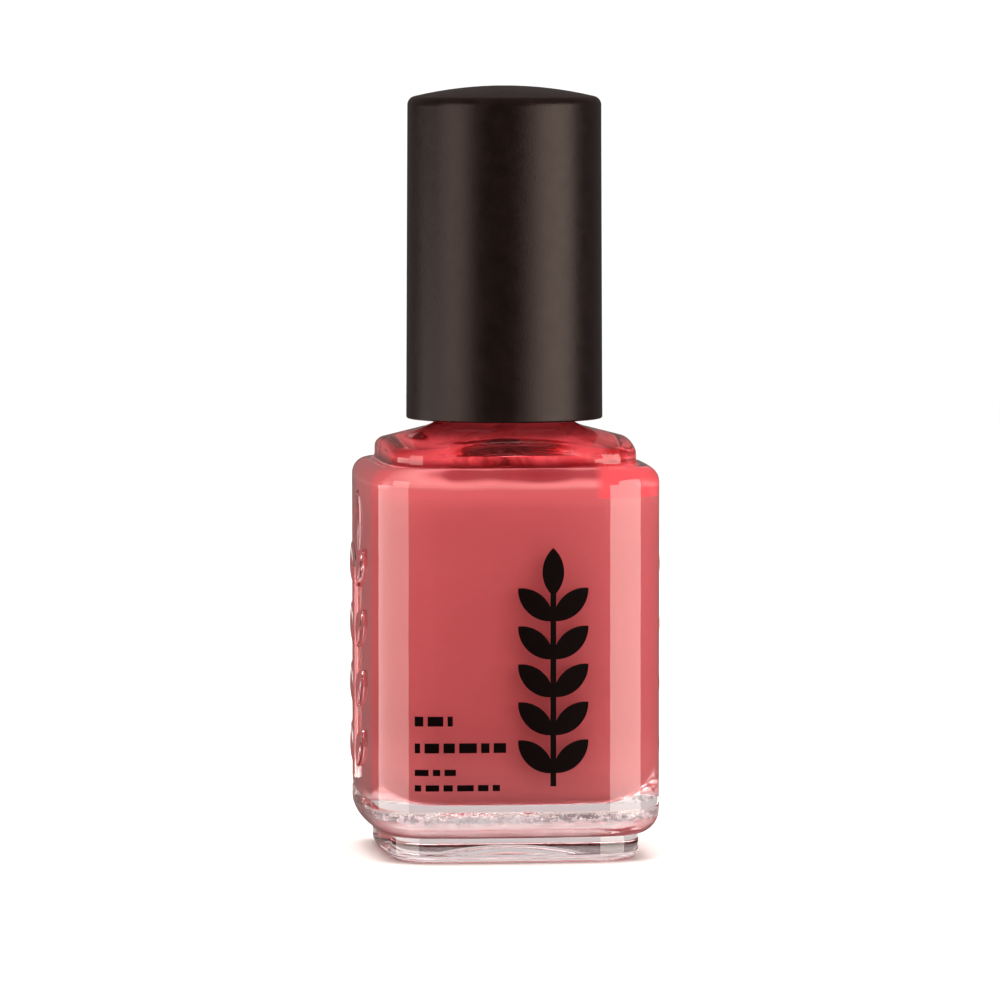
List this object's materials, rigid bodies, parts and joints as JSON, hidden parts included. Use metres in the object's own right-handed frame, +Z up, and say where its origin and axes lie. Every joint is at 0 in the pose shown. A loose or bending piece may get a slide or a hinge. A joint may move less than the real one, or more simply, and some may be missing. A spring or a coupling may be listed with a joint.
{
  "type": "nail polish bottle",
  "caption": "Square glass nail polish bottle with a threaded neck, pink lacquer inside, and a round black screw cap that carries the brush.",
  "frame": {"origin": "middle of the underside, on the surface the bottle stands on", "axes": "+Z up along the neck and cap, -Y towards the printed front, +X to the right seen from the front"},
  "size_m": [0.0298, 0.0289, 0.0752],
  "materials": {
    "clear_glass": "clear moulded glass",
    "pink_lacquer": "glossy cream-pink liquid",
    "ball_steel": "polished steel",
    "black_print": "opaque black screen print",
    "liner_foam": "white foamed liner",
    "black_soft_plastic": "soft-touch matte black",
    "black_cap_plastic": "moulded black polypropylene",
    "bristle_nylon": "fine black nylon fibre",
    "staple_steel": "drawn wire"
  },
  "bodies": {
    "bottle": {"glass_bottle": "clear_glass", "lacquer": "pink_lacquer", "mixing_balls": "ball_steel", "front_sprig": "black_print", "front_dashes": "black_print"},
    "liner": {"seal_liner": "liner_foam"},
    "cap": {"overcap": "black_soft_plastic", "inner_cap": "black_cap_plastic", "brush_stem": "black_cap_plastic", "bristle_tuft": "bristle_nylon", "bristle_staple": "staple_steel"}
  },
  "joints": [
    {"name": "cap_lift", "type": "slide", "parent": "bottle", "child": "liner", "axis": [0, 0, 1], "range_m": [0, 0.04868]},
    {"name": "cap_turn", "type": "hinge", "parent": "liner", "child": "cap", "pos_m": [0, 0, 0.053], "axis": [0, 0, 1], "range_deg": [0, 8280]}
  ],
  "couplings": [
    {"joint": "cap_turn", "follows": "cap_lift", "rad_per_m": 2968.4}
  ]
}
